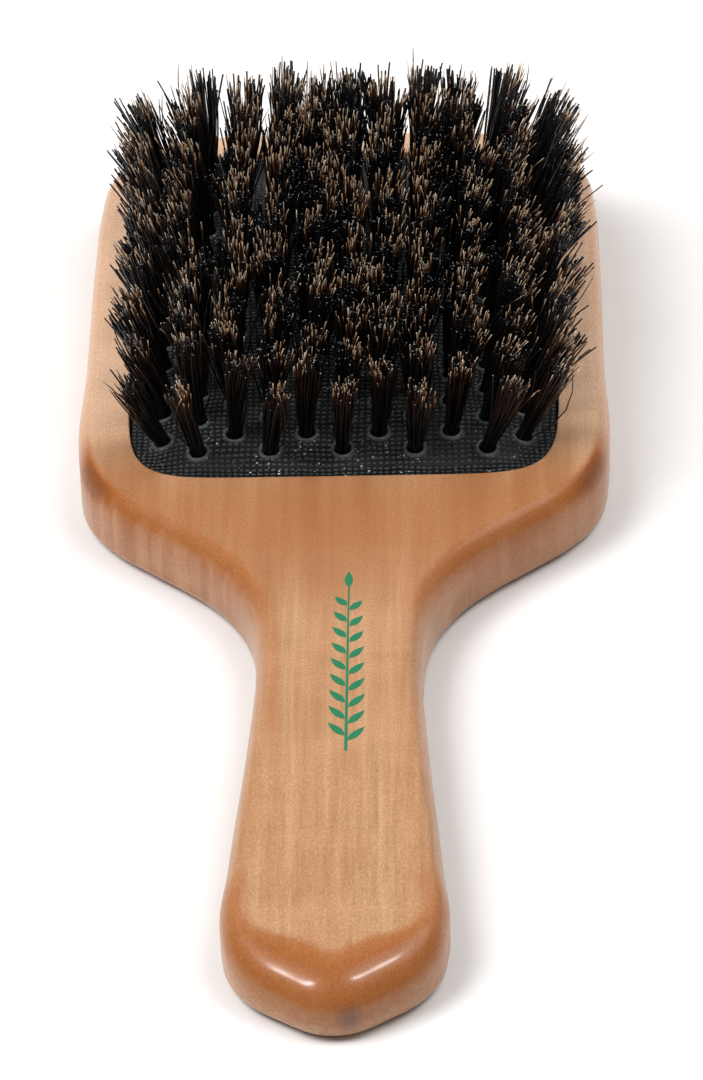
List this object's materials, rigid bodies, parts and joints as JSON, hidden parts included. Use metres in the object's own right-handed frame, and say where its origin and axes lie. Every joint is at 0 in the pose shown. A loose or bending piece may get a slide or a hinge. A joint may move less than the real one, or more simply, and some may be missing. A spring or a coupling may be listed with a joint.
{
  "type": "paddle hairbrush",
  "caption": "Paddle hairbrush: one flat wooden board for head and handle, with a domed rubber air cushion that carries staggered rows of natural bristle tufts and yields when pressed.",
  "frame": {"origin": "centre of the overall box on the plane the flat back rests on", "axes": "+Z out of the bristle side, +Y from the handle towards the head, X across the head"},
  "size_m": [0.087, 0.231, 0.0327],
  "materials": {
    "lacquered_wood": "clear satin lacquer over pale orange-tan hardwood",
    "black_rubber": "matte, fine woven imprint",
    "dark_bristle": "dark natural bristle with paler tips"
  },
  "bodies": {
    "handle": {"wooden_body": "lacquered_wood", "rubber_cushion": "black_rubber"},
    "bristle_row_01": {"tuft_row_01": "dark_bristle"},
    "bristle_row_02": {"tuft_row_02": "dark_bristle"},
    "bristle_row_03": {"tuft_row_03": "dark_bristle"},
    "bristle_row_04": {"tuft_row_04": "dark_bristle"},
    "bristle_row_05": {"tuft_row_05": "dark_bristle"},
    "bristle_row_06": {"tuft_row_06": "dark_bristle"},
    "bristle_row_07": {"tuft_row_07": "dark_bristle"},
    "bristle_row_08": {"tuft_row_08": "dark_bristle"},
    "bristle_row_09": {"tuft_row_09": "dark_bristle"},
    "bristle_row_10": {"tuft_row_10": "dark_bristle"},
    "bristle_row_11": {"tuft_row_11": "dark_bristle"},
    "bristle_row_12": {"tuft_row_12": "dark_bristle"},
    "bristle_row_13": {"tuft_row_13": "dark_bristle"},
    "bristle_row_14": {"tuft_row_14": "dark_bristle"},
    "bristle_row_15": {"tuft_row_15": "dark_bristle"},
    "bristle_row_16": {"tuft_row_16": "dark_bristle"},
    "bristle_row_17": {"tuft_row_17": "dark_bristle"},
    "bristle_row_18": {"tuft_row_18": "dark_bristle"},
    "bristle_row_19": {"tuft_row_19": "dark_bristle"},
    "bristle_row_20": {"tuft_row_20": "dark_bristle"},
    "bristle_row_21": {"tuft_row_21": "dark_bristle"},
    "bristle_row_22": {"tuft_row_22": "dark_bristle"},
    "bristle_row_23": {"tuft_row_23": "dark_bristle"},
    "bristle_row_24": {"tuft_row_24": "dark_bristle"},
    "bristle_row_25": {"tuft_row_25": "dark_bristle"}
  },
  "joints": [
    {"name": "row_01_press", "type": "slide", "parent": "handle", "child": "bristle_row_01", "axis": [0, 0, -1], "range_m": [0, 0.00136], "stiffness_N_per_m": 300},
    {"name": "row_02_press", "type": "slide", "parent": "handle", "child": "bristle_row_02", "axis": [0, 0, -1], "range_m": [0, 0.00185], "stiffness_N_per_m": 300},
    {"name": "row_03_press", "type": "slide", "parent": "handle", "child": "bristle_row_03", "axis": [0, 0, -1], "range_m": [0, 0.00221], "stiffness_N_per_m": 300},
    {"name": "row_04_press", "type": "slide", "parent": "handle", "child": "bristle_row_04", "axis": [0, 0, -1], "range_m": [0, 0.00249], "stiffness_N_per_m": 300},
    {"name": "row_05_press", "type": "slide", "parent": "handle", "child": "bristle_row_05", "axis": [0, 0, -1], "range_m": [0, 0.00269], "stiffness_N_per_m": 300},
    {"name": "row_06_press", "type": "slide", "parent": "handle", "child": "bristle_row_06", "axis": [0, 0, -1], "range_m": [0, 0.00282], "stiffness_N_per_m": 300},
    {"name": "row_07_press", "type": "slide", "parent": "handle", "child": "bristle_row_07", "axis": [0, 0, -1], "range_m": [0, 0.00291], "stiffness_N_per_m": 300},
    {"name": "row_08_press", "type": "slide", "parent": "handle", "child": "bristle_row_08", "axis": [0, 0, -1], "range_m": [0, 0.00296], "stiffness_N_per_m": 300},
    {"name": "row_09_press", "type": "slide", "parent": "handle", "child": "bristle_row_09", "axis": [0, 0, -1], "range_m": [0, 0.00299], "stiffness_N_per_m": 300},
    {"name": "row_10_press", "type": "slide", "parent": "handle", "child": "bristle_row_10", "axis": [0, 0, -1], "range_m": [0, 0.003], "stiffness_N_per_m": 300},
    {"name": "row_11_press", "type": "slide", "parent": "handle", "child": "bristle_row_11", "axis": [0, 0, -1], "range_m": [0, 0.00301], "stiffness_N_per_m": 300},
    {"name": "row_12_press", "type": "slide", "parent": "handle", "child": "bristle_row_12", "axis": [0, 0, -1], "range_m": [0, 0.00301], "stiffness_N_per_m": 300},
    {"name": "cushion_press", "type": "slide", "parent": "handle", "child": "bristle_row_13", "axis": [0, 0, -1], "range_m": [0, 0.003], "stiffness_N_per_m": 300, "deforming": ["rubber_cushion"]},
    {"name": "row_14_press", "type": "slide", "parent": "handle", "child": "bristle_row_14", "axis": [0, 0, -1], "range_m": [0, 0.00301], "stiffness_N_per_m": 300},
    {"name": "row_15_press", "type": "slide", "parent": "handle", "child": "bristle_row_15", "axis": [0, 0, -1], "range_m": [0, 0.00301], "stiffness_N_per_m": 300},
    {"name": "row_16_press", "type": "slide", "parent": "handle", "child": "bristle_row_16", "axis": [0, 0, -1], "range_m": [0, 0.003], "stiffness_N_per_m": 300},
    {"name": "row_17_press", "type": "slide", "parent": "handle", "child": "bristle_row_17", "axis": [0, 0, -1], "range_m": [0, 0.00299], "stiffness_N_per_m": 300},
    {"name": "row_18_press", "type": "slide", "parent": "handle", "child": "bristle_row_18", "axis": [0, 0, -1], "range_m": [0, 0.00296], "stiffness_N_per_m": 300},
    {"name": "row_19_press", "type": "slide", "parent": "handle", "child": "bristle_row_19", "axis": [0, 0, -1], "range_m": [0, 0.00291], "stiffness_N_per_m": 300},
    {"name": "row_20_press", "type": "slide", "parent": "handle", "child": "bristle_row_20", "axis": [0, 0, -1], "range_m": [0, 0.00282], "stiffness_N_per_m": 300},
    {"name": "row_21_press", "type": "slide", "parent": "handle", "child": "bristle_row_21", "axis": [0, 0, -1], "range_m": [0, 0.00269], "stiffness_N_per_m": 300},
    {"name": "row_22_press", "type": "slide", "parent": "handle", "child": "bristle_row_22", "axis": [0, 0, -1], "range_m": [0, 0.00249], "stiffness_N_per_m": 300},
    {"name": "row_23_press", "type": "slide", "parent": "handle", "child": "bristle_row_23", "axis": [0, 0, -1], "range_m": [0, 0.00221], "stiffness_N_per_m": 300},
    {"name": "row_24_press", "type": "slide", "parent": "handle", "child": "bristle_row_24", "axis": [0, 0, -1], "range_m": [0, 0.00185], "stiffness_N_per_m": 300},
    {"name": "row_25_press", "type": "slide", "parent": "handle", "child": "bristle_row_25", "axis": [0, 0, -1], "range_m": [0, 0.00136], "stiffness_N_per_m": 300}
  ],
  "couplings": [
    {"joint": "row_01_press", "follows": "cushion_press", "ratio": 0.451},
    {"joint": "row_02_press", "follows": "cushion_press", "ratio": 0.612},
    {"joint": "row_03_press", "follows": "cushion_press", "ratio": 0.735},
    {"joint": "row_04_press", "follows": "cushion_press", "ratio": 0.826},
    {"joint": "row_05_press", "follows": "cushion_press", "ratio": 0.892},
    {"joint": "row_06_press", "follows": "cushion_press", "ratio": 0.936},
    {"joint": "row_07_press", "follows": "cushion_press", "ratio": 0.966},
    {"joint": "row_08_press", "follows": "cushion_press", "ratio": 0.983},
    {"joint": "row_09_press", "follows": "cushion_press", "ratio": 0.993},
    {"joint": "row_10_press", "follows": "cushion_press", "ratio": 0.998},
    {"joint": "row_11_press", "follows": "cushion_press", "ratio": 1},
    {"joint": "row_12_press", "follows": "cushion_press", "ratio": 1},
    {"joint": "row_14_press", "follows": "cushion_press", "ratio": 1},
    {"joint": "row_15_press", "follows": "cushion_press", "ratio": 1},
    {"joint": "row_16_press", "follows": "cushion_press", "ratio": 0.998},
    {"joint": "row_17_press", "follows": "cushion_press", "ratio": 0.993},
    {"joint": "row_18_press", "follows": "cushion_press", "ratio": 0.983},
    {"joint": "row_19_press", "follows": "cushion_press", "ratio": 0.966},
    {"joint": "row_20_press", "follows": "cushion_press", "ratio": 0.936},
    {"joint": "row_21_press", "follows": "cushion_press", "ratio": 0.892},
    {"joint": "row_22_press", "follows": "cushion_press", "ratio": 0.826},
    {"joint": "row_23_press", "follows": "cushion_press", "ratio": 0.735},
    {"joint": "row_24_press", "follows": "cushion_press", "ratio": 0.612},
    {"joint": "row_25_press", "follows": "cushion_press", "ratio": 0.451}
  ]
}
